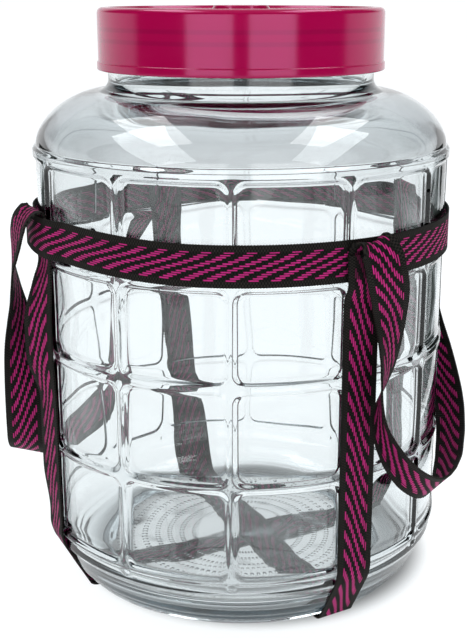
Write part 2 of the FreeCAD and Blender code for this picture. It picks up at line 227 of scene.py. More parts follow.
def turn_on_lathe(name: str, profile: Profile, steps: int) -> Piece:
    """Draw a profile point by point and spin it once round the axis.

    Args:
        name: the new object's name.
        profile: (radius, height) pairs, in metres.
        steps: how many columns the turned surface has.

    Returns:
        The turned surface, open where the profile is open.
    """
    put_down()
    radius, height = profile[0]
    bpy.ops.mesh.primitive_plane_add(size=0.001, location=(radius, 0.0, height))
    piece = bpy.context.object
    piece.name = name
    settle(piece)
    with editing(piece):
        bpy.ops.mesh.merge(type="CENTER")
        for (r0, z0), (r1, z1) in zip(profile, profile[1:]):
            bpy.ops.mesh.extrude_region_move(
                TRANSFORM_OT_translate={"value": (r1 - r0, 0.0, z1 - z0)})
        bpy.ops.mesh.select_all(action="SELECT")
        bpy.ops.mesh.spin(steps=steps, angle=2.0 * math.pi, center=(0.0, 0.0, 0.0),
                          axis=(0.0, 0.0, 1.0))
        bpy.ops.mesh.select_all(action="SELECT")
        bpy.ops.mesh.remove_doubles(threshold=2e-6)
        bpy.ops.mesh.normals_make_consistent(inside=False)
    return piece


def weld(pieces: Sequence[Piece], distance: float = 2e-6) -> Piece:
    """Join open shells into one and merge the edges where they meet.

    Args:
        pieces: the shells; the first one gives the name.
        distance: how near two vertices are that become one.

    Returns:
        The joined object, with its normals outwards.
    """
    pick_up(*pieces)
    bpy.ops.object.join()
    piece = bpy.context.object
    with editing(piece):
        bpy.ops.mesh.remove_doubles(threshold=distance)
        bpy.ops.mesh.normals_make_consistent(inside=False)
    return piece


def shade(piece: Piece, angle: float = 180.0) -> None:
    """Shade smooth, keeping edges sharper than an angle in degrees."""
    pick_up(piece)
    if angle >= 180.0:
        bpy.ops.object.shade_smooth()
    else:
        bpy.ops.object.shade_smooth_by_angle(angle=math.radians(angle))


def hand_over(piece: Piece, node: str, material: Material) -> Piece:
    """Give a finished piece its material, hide the CAD part that it stands for, and hang it on the
    root body.

    Args:
        piece: the finished mesh.
        node: the node of the CAD model that it replaces.
        material: what it is made of.

    Returns:
        The same piece.
    """
    piece.data.materials.append(material)
    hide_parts(node)
    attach(piece, "root")
    return piece


# ---- nodes ------------------------------------------------------------------------------
class Recipe:
    """The nodes of one material or world, put down in plain calls."""

    def __init__(self, holder: Material | bpy.types.World) -> None:
        """Start with an output and nothing else."""
        holder.use_nodes = True
        self.tree = holder.node_tree
        self.tree.nodes.clear()
        kind = "World" if isinstance(holder, bpy.types.World) else "Material"
        self.output = self.tree.nodes.new(f"ShaderNodeOutput{kind}")

    @classmethod
    def material(cls, name: str) -> tuple["Recipe", Material]:
        """A new material and its recipe."""
        made = bpy.data.materials.new(name)
        return cls(made), made

    def add(self, kind: str, **settings: object) -> bpy.types.Node:
        """Add a node and set its properties."""
        node = self.tree.nodes.new(kind)
        for key, value in settings.items():
            setattr(node, key, value)
        return node

    def feed(self, socket: Socket, source: Source) -> None:
        """Link a socket into another, or set it to a constant."""
        if isinstance(source, Socket):
            self.tree.links.new(source, socket)
        else:
            socket.default_value = source

    def math(self, operation: str, *sources: Source) -> Socket:
        """One Math node.

        Args:
            operation: the node's operation.
            sources: its inputs, in order.

        Returns:
            The result's socket.
        """
        node = self.add("ShaderNodeMath", operation=operation)
        for socket, source in zip(node.inputs, sources):
            self.feed(socket, source)
        return node.outputs[0]

    def chain(self, operation: str, *sources: Source) -> Socket:
        """The same operation over any number of inputs, from left to right."""
        result = sources[0]
        for source in sources[1:]:
            result = self.math(operation, result, source)
        return result

    def times(self, *sources: Source) -> Socket:
        """Product of the inputs."""
        return self.chain("MULTIPLY", *sources)

    def plus(self, *sources: Source) -> Socket:
        """Sum of the inputs."""
        return self.chain("ADD", *sources)

    def most(self, *sources: Source) -> Socket:
        """Largest of the inputs."""
        return self.chain("MAXIMUM", *sources)

    def hump(self, value: Source) -> Socket:
        """Sine of half a turn times a value: 0 at whole numbers, 1 half way."""
        return self.math("SINE", self.times(value, math.pi))

    def distance(self, x: Source, y: Source) -> Socket:
        """Length of (x, y)."""
        return self.math("SQRT", self.plus(self.times(x, x), self.times(y, y)))

    def split(self, vector: Source) -> tuple[Socket, ...]:
        """The three parts of a vector."""
        node = self.add("ShaderNodeSeparateXYZ")
        self.feed(node.inputs[0], vector)
        return tuple(node.outputs)

    def ramp(self, value: Source, low: float, high: float, start: float = 0.0,
             stop: float = 1.0) -> Socket:
        """Ease a value between two limits.

        Args:
            value: what is read.
            low: where the ease starts.
            high: where it stops.
            start: what it gives at low.
            stop: what it gives at high.

        Returns:
            The eased value's socket.
        """
        node = self.add("ShaderNodeMapRange", interpolation_type="SMOOTHSTEP")
        for socket, source in zip(node.inputs, (value, low, high, start, stop)):
            self.feed(socket, source)
        return node.outputs[0]

    def mix(self, share: Source, first: Source, second: Source) -> Socket:
        """Mix two colours by a share of the second."""
        node = self.add("ShaderNodeMix", data_type="RGBA")
        for socket, source in zip((node.inputs[0], node.inputs[6], node.inputs[7]),
                                  (share, first, second)):
            self.feed(socket, source)
        return node.outputs[2]

    def noise(self, place: Source, scale: float, detail: float = 2.0,
              dimensions: str = "3D") -> Socket:
        """Soft noise from 0 to 1 at a place."""
        node = self.add("ShaderNodeTexNoise", noise_dimensions=dimensions)
        key = "W" if dimensions == "1D" else "Vector"
        self.feed(node.inputs[key], place)
        node.inputs["Scale"].default_value = scale
        node.inputs["Detail"].default_value = detail
        return node.outputs["Fac"]

    def relief(self, height: Source, depth: float, strength: float = 1.0) -> Socket:
        """A Bump node.

        Args:
            height: the height field, 0 to 1.
            depth: how many metres 1 stands for.
            strength: how much of it shows.

        Returns:
            The normal's socket.
        """
        node = self.add("ShaderNodeBump")
        node.inputs["Strength"].default_value = strength
        node.inputs["Distance"].default_value = depth
        self.feed(node.inputs["Height"], height)
        return node.outputs[0]

    def surface(self, **sources: Source) -> bpy.types.Node:
        """A Principled node on the output, with inputs given by their names."""
        node = self.add("ShaderNodeBsdfPrincipled")
        for key, source in sources.items():
            self.feed(node.inputs[key.replace("_", " ")], source)
        self.tree.links.new(node.outputs[0], self.output.inputs["Surface"])
        return node


# ---- finishes ---------------------------------------------------------------------------
@dataclass(frozen=True)
class MouldedGlass:
    """Clear pressed glass: faintly green where it is thick, with a knurled base ring."""

    index: float = 1.5
    tint: Colour = (0.28, 0.42, 0.47, 1.0)
    density: float = 19.0
    knurl_inner: float = 0.026
    knurl_outer: float = 0.083
    knurl_pitch: float = 0.0080
    knurl_count: float = 17.0
    underside: Pair = (0.0065, 0.0085)
    frost: float = 0.10
    knurl_deep: float = 0.0012
    wave_deep: float = 2.5

    def make(self) -> Material:
        """Build the material.

        Returns:
            The glass.
        """
        recipe, material = Recipe.material("moulded_glass")
        place = recipe.add("ShaderNodeTexCoord").outputs["Object"]
        x, y, z = recipe.split(place)
        radius = recipe.distance(x, y)
        turn = recipe.math("ARCTAN2", y, x)
        # Knurling: rows of short dashes on the underside, every other row shifted.
        row = recipe.math("DIVIDE", radius, self.knurl_pitch)
        across = recipe.hump(recipe.math("FRACT", row))
        shift = recipe.times(recipe.math("MODULO", recipe.math("FLOOR", row), 2.0), 0.5)
        along = recipe.plus(recipe.times(turn, self.knurl_count), shift)
        along = recipe.math("ABSOLUTE", recipe.hump(along))
        dash = recipe.times(recipe.ramp(along, 0.72, 0.95), recipe.ramp(across, 0.80, 0.97))
        ring = recipe.times(
            recipe.ramp(radius, self.knurl_inner, self.knurl_inner + 0.006),
            recipe.ramp(radius, self.knurl_outer - 0.003, self.knurl_outer, 1.0, 0.0))
        low, high = self.underside
        dash = recipe.times(dash, ring, recipe.ramp(z, low, high, 1.0, 0.0))
        # The middle of the underside is wavy and a little frosted.
        waves = recipe.times(recipe.noise(place, 38.0, 1.0),
                             recipe.ramp(z, low, high, self.wave_deep, 0.0),
                             recipe.ramp(radius, 0.076, 0.083, 1.0, 0.0))
        normal = recipe.relief(recipe.plus(dash, waves), self.knurl_deep)
        frost = recipe.times(recipe.ramp(z, low, high, self.frost, 0.0),
                             recipe.ramp(radius, 0.080, 0.084, 1.0, 0.0))
        recipe.surface(Base_Color=(0.985, 0.995, 0.995, 1.0), Roughness=frost, IOR=self.index,
                       Transmission_Weight=1.0, Normal=normal)
        absorb = recipe.add("ShaderNodeVolumeAbsorption")
        absorb.inputs["Color"].default_value = self.tint
        absorb.inputs["Density"].default_value = self.density
        recipe.tree.links.new(absorb.outputs[0], recipe.output.inputs["Volume"])
        return material


@dataclass(frozen=True)
class LidPlastic:
    """Glossy magenta polypropylene with faint flow marks, and bands of painted shade where the
    glass thread sits behind the skirt.
    """

    deep: Colour = (0.38, 0.0005, 0.058, 1.0)
    pale: Colour = (0.42, 0.0008, 0.070, 1.0)
    # Colour of the painted shade bands at the thread heights.
    painted_thread_shade: Colour = (0.20, 0.001, 0.045, 1.0)
    roughness: float = 0.15
    thread_heights: Pair = (0.3144, 0.3086)
    thread_shade_half: float = 0.0016

    def make(self) -> Material:
        """Build the material.

        Returns:
            The plastic.
        """
        recipe, material = Recipe.material("lid_plastic")
        place = recipe.add("ShaderNodeTexCoord").outputs["Object"]
        height_here = recipe.split(place)[2]
        shadow: Source = 0.0
        # Painted shade: a darker band round the skirt at each thread height.
        for height in self.thread_heights:
            away = recipe.math("ABSOLUTE", recipe.math("SUBTRACT", height_here, height))
            band = recipe.ramp(away, self.thread_shade_half * 0.4, self.thread_shade_half, 1.0, 0.0)
            shadow = recipe.most(shadow, band)
        cloud = recipe.noise(place, 9.0, 1.0)
        colour = recipe.mix(recipe.ramp(cloud, 0.3, 0.7), self.deep, self.pale)
        colour = recipe.mix(recipe.times(shadow, 0.35), colour, self.painted_thread_shade)
        rough = recipe.ramp(recipe.noise(place, 90.0, 2.0), 0.3, 0.75, self.roughness - 0.02,
                            self.roughness + 0.03)
        normal = recipe.relief(recipe.noise(place, 30.0, 1.0), 0.0002, 0.15)
        recipe.surface(Base_Color=colour, Roughness=rough, IOR=1.5, Normal=normal,
                       Specular_Tint=(1.0, 0.32, 0.8, 1.0), Coat_Weight=0.25, Coat_Roughness=0.05,
                       Subsurface_Weight=0.06, Subsurface_Scale=0.004,
                       Subsurface_Radius=(1.0, 0.15, 0.4))
        return material


@dataclass(frozen=True)
class StripedWeave:
    """Black webbing with ribbed borders and slanting magenta floats, with painted shade on the
    floats and a painted highlight on the ribs.

    Its own UV map holds millimetres: along the strap, and across it from the middle.
    """

    pick: float = 1.5
    end: float = 1.05
    repeat: float = 11.0
    field_half: float = 7.4
    slant: float = 2.3
    wave: float = 1.3
    jitter: float = 1.1
    column: float = 1.25
    share: float = 0.46
    sewn: float = 13.0
    magenta: Colour = (0.60, 0.026, 0.23, 1.0)
    # The darker magenta: random tone from yarn to yarn, and painted shade where a float is low.
    painted_shade_and_wine_tone: Colour = (0.28, 0.008, 0.09, 1.0)
    black: Colour = (0.0018, 0.0018, 0.0018, 1.0)
    # Painted highlight on the crests of the ground's ribs.
    painted_rib_highlight: Colour = (0.024, 0.021, 0.018, 1.0)
    uv_name: str = "weave"

    def make(self) -> Material:
        """Build the material.

        Returns:
            The webbing.
        """
        recipe, material = Recipe.material("striped_weave")
        uv = recipe.add("ShaderNodeUVMap", uv_map=self.uv_name).outputs[0]
        along, across, _ = recipe.split(uv)
        wide = recipe.math("ABSOLUTE", across)
        ends = recipe.math("DIVIDE", across, self.end)
        yarn = recipe.math("FLOOR", ends)
        yarn_middle = recipe.times(recipe.plus(yarn, 0.5), self.end)
        yarn_round = recipe.hump(recipe.math("FRACT", ends))
        # Where each float starts: a slope, bent into a shallow S.
        bend = recipe.math("SINE", recipe.times(yarn_middle, math.pi / self.field_half))
        jitter = recipe.noise(recipe.times(yarn, 5.17), 1.0, 0.0, "1D")
        start = recipe.plus(recipe.times(yarn_middle, self.slant),
                            recipe.times(bend, self.wave), recipe.times(jitter, self.jitter))
        phase = recipe.math("FRACT", recipe.math(
            "DIVIDE", recipe.math("SUBTRACT", along, start), self.repeat))
        inside = recipe.math("ABSOLUTE", recipe.math("SUBTRACT", phase, 0.5 * self.share))
        floats = recipe.ramp(inside, 0.5 * self.share - 0.014, 0.5 * self.share + 0.014, 1.0, 0.0)
        field = recipe.ramp(wide, self.field_half - 0.12, self.field_half + 0.12, 1.0, 0.0)
        gap_place = recipe.math("ABSOLUTE", recipe.math("SUBTRACT", across, self.field_half - 1.1))
        floats = recipe.times(floats, field, recipe.ramp(gap_place, 0.22, 0.38))
        # Height of each float, highest on the middle of a yarn and of a float: it gives the bump,
        # and also the painted shade at yarn edges and float ends.
        crown = recipe.hump(recipe.math("DIVIDE", phase, self.share))
        float_high = recipe.times(floats, recipe.times(
            recipe.ramp(yarn_round, 0.0, 0.9, 0.25, 1.0), recipe.ramp(crown, 0.0, 0.5, 0.45, 1.0)))
        # The ground: each pick shows as a fine rib, offset from column to column; its crest gets a
        # painted highlight in grey, stronger in the borders.
        columns = recipe.math("DIVIDE", across, self.column)
        offset = recipe.times(recipe.math("MODULO", recipe.math("FLOOR", columns), 2.0),
                              0.5 * self.pick)
        rib = recipe.hump(recipe.math("FRACT", recipe.math(
            "DIVIDE", recipe.plus(along, offset), self.pick)))
        seam = recipe.hump(recipe.math("FRACT", columns))
        ground_high = recipe.times(recipe.ramp(rib, 0.35, 0.95),
                                   recipe.ramp(seam, 0.0, 0.7, 0.55, 1.0))
        # Floats' colour: random tone times the float's height mixes in the darker magenta, part
        # tone and part painted shade.
        tone = recipe.noise(recipe.plus(recipe.times(yarn, 7.31), recipe.times(along, 0.05)),
                            1.0, 2.0, "1D")
        thread = recipe.mix(recipe.times(recipe.ramp(tone, 0.2, 0.8, 0.55, 1.0),
                                         recipe.ramp(float_high, 0.2, 0.9)),
                            self.painted_shade_and_wine_tone, self.magenta)
        ground = recipe.mix(recipe.times(ground_high, recipe.ramp(wide, 6.8, 7.6, 0.35, 0.9)),
                            self.black, self.painted_rib_highlight)
        # The black ground shows at each yarn's edges: painted shade between neighbouring yarns.
        floats = recipe.times(floats, recipe.ramp(yarn_round, 0.30, 0.72, 0.12, 1.0))
        # Where the end of a strap is sewn down, black thread covers most of the floats.
        sewn = recipe.ramp(along, self.sewn - 1.2, self.sewn, 1.0, 0.0)
        floats = recipe.times(floats, recipe.ramp(sewn, 0.0, 1.0, 1.0, 0.22))
        colour = recipe.mix(floats, ground, thread)
        height = recipe.most(float_high, recipe.times(ground_high, 0.5))
        normal = recipe.relief(height, 0.00035, 0.9)
        rough = recipe.ramp(floats, 0.0, 1.0, 0.70, 0.45)
        recipe.surface(Base_Color=colour, Roughness=rough, IOR=1.45, Normal=normal,
                       Specular_IOR_Level=0.12, Sheen_Weight=0.01, Sheen_Roughness=0.4)
        return material


# ---- glass jar --------------------------------------------------------------------------
def swell(places: np.ndarray, size: float, seed: float) -> np.ndarray:
    """Slow waves, as a number from -1 to 1 for each place."""
    shift = Vector((seed, 2.0 * seed, 0.5 * seed))
    return np.array([noise.noise(Vector(place) / size + shift) for place in places])


@dataclass(frozen=True)
class Unevenness:
    """Waves in a glass wall, each with a depth, a size and a seed.

    They fade out below the first pair (height, length) and above the second.
    """

    waves: tuple[tuple[float, float, float], ...]
    low: Pair
    high: Pair

    def offsets(self, places: np.ndarray, height: np.ndarray,
                extra: np.ndarray | float = 0.0) -> np.ndarray:
        """How far each place moves out.

        Args:
            places: one row each.
            height: their heights.
            extra: what is added before the fade.

        Returns:
            Metres, one for each place.
        """
        calm = (smooth_all((height - self.low[0]) / self.low[1])
                * (1.0 - smooth_all((height - self.high[0]) / self.high[1])))
        uneven = sum(depth * swell(places, size, seed) for depth, size, seed in self.waves)
        return (uneven + extra) * calm


@dataclass
class GlassJar:
    """The moulded jar: flat panels framed by upright ribs and level rings."""

    node: str = "glass_jar"
    panel_radius: float = 0.1155
    crest: float = 0.0015
    rib_count: int = 12
    rib_turn: float = -2.4
    rib_half: float = 0.0029
    flank: float = 0.0026
    corner: float = 0.0050
    rings: tuple[float, ...] = (0.0362, 0.0885, 0.1425, 0.1945, 0.2480)
    ring_halves: tuple[float, ...] = (0.0031, 0.0031, 0.0040, 0.0033, 0.0036)
    wall: float = 0.0050
    base_inside: float = 0.0120
    base_recess: float = 0.0056
    bearing: float = 0.0013
    neck_radius: float = 0.0740
    neck_wall: float = 0.0046
    neck_root: float = 0.0068
    bore_root: float = 0.0042
    root_thick: float = 0.0065
    inner_power: float = 1.7
    mouth: float = 0.3206
    shoulder_low: float = 0.2528
    shoulder_high: float = 0.2810
    shoulder_power: float = 1.7
    thread_heights: Pair = (0.3086, 0.3144)
    thread_round: float = 0.0016
    knob_extra: float = 0.0006
    knob_drop: float = 0.0028
    frame_top: float = 0.2503
    frame_fade: float = 0.0024
    framed_outside: Pair = (0.0284, 0.2545)
    framed_inside: Pair = (0.0300, 0.2470)
    framed_radius: float = 0.112
    show_through: float = 0.25
    pressed: Unevenness = Unevenness(((0.00022, 0.030, 3.1), (0.00030, 0.062, 9.7)),
                                     (0.004, 0.020), (0.276, 0.008))
    blown: Unevenness = Unevenness(((0.00034, 0.034, 5.3), (0.00040, 0.075, 1.9)),
                                   (0.014, 0.020), (0.268, 0.010))
    floor_top: float = 0.0160
    floor_wave: float = 0.00025
    floor_wave_size: float = 0.022
    columns_per_sector: int = 26
    crowding: float = 0.70
    crowding_power: float = 2.4
    finish: MouldedGlass = field(default_factory=MouldedGlass)

    def heights(self) -> list[float]:
        """Heights of the rows of the panelled wall, close together at each ring."""
        found = []
        low = 0.0290
        for ring, half in zip(self.rings, self.ring_halves):
            near = half + self.corner * 0.9
            start = max(low, ring - near)
            panel_rows = 7
            if start > low:
                found += [low + (start - low) * i / panel_rows for i in range(panel_rows)]
            rows = 20
            stop = ring + near
            if ring == self.rings[-1]:
                stop = self.shoulder_low
            found += [start + (stop - start) * i / rows for i in range(rows)]
            low = stop
        return found

    def outside(self) -> Profile:
        """Outer profile, from the middle of the underside to the middle of the lip."""
        inner = 0.0870
        points = [(0.0, self.base_recess)]
        points += [(0.008 * i, self.base_recess) for i in range(1, 11)]
        points += [(0.0830, self.base_recess), (0.0842, 0.0050), (0.0858, 0.0024)]
        points += [(inner, self.bearing), (0.0890, self.bearing), (0.0930, self.bearing)]
        points += [(0.0962, self.bearing), (0.0982, 0.0016), (0.0996, 0.0024), (0.1006, 0.0035)]
        points += [(0.1016, 0.0050), (0.1024, 0.0062), (0.1034, 0.0068), (0.1043, 0.0076)]
        points += [(0.1050, 0.0090), (0.1057, 0.0103), (0.1068, 0.0110), (0.1076, 0.0119)]
        points += [(0.1083, 0.0135), (0.1098, 0.0165), (0.1113, 0.0198), (0.1128, 0.0230)]
        points += [(0.1140, 0.0256), (0.1147, 0.0268), (0.1153, 0.0276), (0.1155, 0.0283)]
        points += [(self.panel_radius, height) for height in self.heights()]
        foot = self.panel_radius - 0.0004
        root = self.neck_root
        points += superellipse(self.neck_radius + root * 0.92, foot, self.shoulder_low,
                               self.shoulder_high, self.shoulder_power, 36)
        points += arc((self.neck_radius + root, self.shoulder_high + root), root, 262.0, 180.0, 12)
        points += [(self.neck_radius, 0.2930), (self.neck_radius, 0.3000)]
        for height in self.thread_heights:
            points += arc((self.neck_radius, height), self.thread_round, -90.0, 90.0, 6)
        points += arc((self.neck_radius - 0.0020, self.mouth - 0.0020), 0.0020, 0.0, 90.0, 5)
        points.append((self.neck_radius - 0.5 * self.neck_wall, self.mouth))
        return points

    def inside(self) -> Profile:
        """Inner profile, from the middle of the lip to the middle of the floor."""
        wall = self.panel_radius - self.wall
        bore = self.neck_radius - self.neck_wall
        points = [(self.neck_radius - 0.5 * self.neck_wall, self.mouth)]
        points += arc((bore + 0.0020, self.mouth - 0.0020), 0.0020, 90.0, 180.0, 4)
        points += [(bore, 0.3120), (bore, 0.3040), (bore, 0.2960), (bore, 0.2880)]
        turn = self.bore_root
        under = self.shoulder_high - self.root_thick
        shoulder = superellipse(bore + turn * 0.92, wall, self.shoulder_low - 0.0055,
                                under, self.inner_power, 30)
        points += arc((bore + turn, under + turn), turn, 180.0, 262.0, 6)
        points += list(reversed(shoulder))
        rows = 74
        top, low = self.shoulder_low - 0.0055, 0.0420
        points += [(wall, top + (low - top) * i / rows) for i in range(1, rows + 1)]
        points += [(0.1103, 0.0370), (0.1098, 0.0330), (0.1088, 0.0290), (0.1072, 0.0252)]
        points += [(0.1050, 0.0215), (0.1020, 0.0181), (0.0980, 0.0153), (0.0930, 0.0134)]
        points += [(0.0870, 0.0123), (0.0800, 0.0118), (0.0700, 0.0117), (0.0600, 0.0118)]
        points += [(0.0480, 0.0120), (0.0360, 0.0122), (0.0240, 0.0123), (0.0120, 0.0124)]
        points.append((0.0, self.base_inside + 0.0004))
        return points

    def crowd(self, piece: Piece) -> None:
        """Crowd the lathe's even columns together at the ribs, where the shape changes fast."""
        places, azimuth, radius, _ = round_places(piece)
        sector = 360.0 / self.rib_count
        part = (azimuth - self.rib_turn) / sector
        whole = np.round(part)
        part = (part - whole) * 2.0
        part = np.sign(part) * ((1.0 - self.crowding) * np.abs(part)
                                + self.crowding * np.abs(part) ** self.crowding_power)
        azimuth = np.radians(self.rib_turn + sector * (whole + 0.5 * part))
        places[:, 0] = radius * np.sin(azimuth)
        places[:, 1] = -radius * np.cos(azimuth)
        write_points(piece, places)

    def frame_height(self, azimuth: np.ndarray, height: np.ndarray) -> np.ndarray:
        """How far the frame of ribs and rings stands above the panels.

        Args:
            azimuth: degrees about +Z.
            height: metres above the floor.

        Returns:
            Metres, one for each pair.
        """
        sector = 360.0 / self.rib_count
        part = (azimuth - self.rib_turn) / sector
        part = part - np.floor(part)
        reach = math.radians(sector) * self.panel_radius
        half = 0.5 * reach - self.rib_half
        side = np.abs(part - 0.5) * reach
        away = np.full(len(azimuth), 1.0)
        edges = list(zip(self.rings, self.ring_halves))
        for (low, low_half), (high, high_half) in zip(edges, edges[1:]):
            bottom, top = low + low_half, high - high_half
            middle, tall = 0.5 * (bottom + top), 0.5 * (top - bottom)
            x = side - (half - self.corner)
            y = np.abs(height - middle) - (tall - self.corner)
            outside = np.hypot(np.maximum(x, 0.0), np.maximum(y, 0.0))
            distance = outside + np.minimum(np.maximum(x, y), 0.0) - self.corner
            away = np.minimum(away, distance)
        lowest, lowest_half = edges[0]
        knob = self.rib_half + self.knob_extra - np.hypot(
            0.5 * reach - side, height - (lowest - self.knob_drop))
        level = lowest_half - np.abs(height - lowest)
        below = np.maximum(knob, level)
        away = np.where(height < lowest, np.minimum(away, np.maximum(below, 0.0)), away)
        raised = self.crest * smooth_all(away / self.flank)
        fade = 1.0 - smooth_all((height - self.frame_top) / self.frame_fade)
        return raised * fade

    def framed(self, azimuth: np.ndarray, height: np.ndarray, walled: np.ndarray) -> np.ndarray:
        """Height of the frame at every place, 0 where there is no panelled wall."""
        raised = np.zeros(len(height))
        raised[walled] = self.frame_height(azimuth[walled], height[walled])
        return raised

    def press(self, piece: Piece) -> None:
        """Press the frame and the unevenness into the turned outside."""
        places, azimuth, radius, height = round_places(piece)
        low, high = self.framed_outside
        walled = (height > low) & (height < high) & (radius > self.framed_radius)
        raised = self.framed(azimuth, height, walled)
        move_out(places, radius, radius + raised + self.pressed.offsets(places, height))
        write_points(piece, places)

    def ripple(self, piece: Piece) -> None:
        """Give the blown inside its slower ripples, with a little of the frame in them."""
        places, azimuth, radius, height = round_places(piece)
        low, high = self.framed_inside
        soft = -self.show_through * self.framed(azimuth, height, (height > low) & (height < high))
        move_out(places, radius, radius + self.blown.offsets(places, height, soft))
        floor = height < self.floor_top
        places[floor, 2] += self.floor_wave * swell(places[floor], self.floor_wave_size, 4.4)
        write_points(piece, places)

    def build(self) -> Piece:
        """Turn, press and close the jar.

        Returns:
            The jar's object.
        """
        steps = self.rib_count * self.columns_per_sector
        outer = turn_on_lathe("jar_glass", self.outside(), steps)
        inner = turn_on_lathe("jar_inside", self.inside(), steps)
        for shell in (outer, inner):
            self.crowd(shell)
        self.press(outer)
        self.ripple(inner)
        piece = weld((outer, inner), 4e-6)
        shade(piece)
        return hand_over(piece, self.node, self.finish.make())


# ---- lid --------------------------------------------------------------------------------
@dataclass
class ScrewLid:
    """The turned plastic lid, with a foot band, a sunk top and a raised middle."""

    node: str = "screw_lid"
    foot: float = 0.2924
    rim: float = 0.3255
    radius: float = 0.0792
    band_radius: float = 0.0799
    band_tall: float = 0.0045
    wall: float = 0.0023
    corner: float = 0.0030
    recess_radius: float = 0.0720
    recess_deep: float = 0.0015
    boss_radius: float = 0.0150
    boss_rise: float = 0.0010
    under: float = 0.3209
    columns: int = 240
    finish: LidPlastic = field(default_factory=LidPlastic)

    def profile(self) -> Profile:
        """Whole section of the lid, from the middle of its underside to the middle of its top."""
        inner = self.radius - self.wall
        floor = self.rim - self.recess_deep
        boss = self.rim + self.boss_rise
        points = [(0.0, self.under), (0.0300, self.under), (0.0600, self.under)]
        points += arc((inner - 0.0016, self.under - 0.0016), 0.0016, 90.0, 0.0, 5)
        points += [(inner, 0.3120), (inner, 0.3030), (inner, self.foot + 0.0008)]
        points += [(inner + 0.0004, self.foot), (self.band_radius - 0.0006, self.foot)]
        points += arc((self.band_radius - 0.0006, self.foot + 0.0006), 0.0006, -90.0, 0.0, 4)
        top = self.foot + self.band_tall
        points += arc((self.band_radius - 0.0006, top - 0.0006), 0.0006, 0.0, 70.0, 4)
        points += [(self.radius + 0.0001, top + 0.0001), (self.radius, top + 0.0006)]
        points += [(self.radius, 0.3030), (self.radius, 0.3120)]
        points += arc((self.radius - self.corner, self.rim - self.corner), self.corner,
                      0.0, 90.0, 10)
        points += [(self.recess_radius + 0.0022, self.rim)]
        points += arc((self.recess_radius + 0.0016, self.rim - 0.0006), 0.0006, 90.0, 165.0, 4)
        points += arc((self.recess_radius - 0.0006, floor + 0.0006), 0.0006, -15.0, -90.0, 4)
        points += [(0.0640, floor), (0.0520, floor), (0.0380, floor), (0.0260, floor)]
        points += arc((self.boss_radius + 0.0018, floor + 0.0008), 0.0008, 270.0, 190.0, 4)
        points += arc((self.boss_radius - 0.0006, boss - 0.0008), 0.0008, 10.0, 90.0, 5)
        points += [(0.0100, boss), (0.0050, boss), (0.0, boss)]
        return points

    def build(self) -> Piece:
        """Turn the lid in one go.

        Returns:
            The lid's object.
        """
        piece = turn_on_lathe("lid_shell", self.profile(), self.columns)
        shade(piece, 40.0)
        return hand_over(piece, self.node, self.finish.make())


# ---- webbing ----------------------------------------------------------------------------
class Lean(Enum):
    """Which way the stripes lean across a strap."""

    FORWARD = 1.0
    BACKWARD = -1.0


@dataclass
class Harness:
    """Sizes that every strap shares, and the layers in which they lie."""

    wide: float = 0.0215
    thick: float = 0.0012
    layer_gap: float = 0.0003
    first_layer: float = 0.1179
    belt_height: float = 0.2061
    strap_top: float = 0.2164
    front_right: float = 30.8
    front_left: float = -64.0
    back_right: float = 116.5
    back_left: float = 206.0
    weave: StripedWeave = field(default_factory=StripedWeave)

    def layer(self, number: int) -> float:
        """Middle radius of a layer, 1 next to the glass."""
        return self.first_layer + (number - 1) * (self.thick + self.layer_gap)


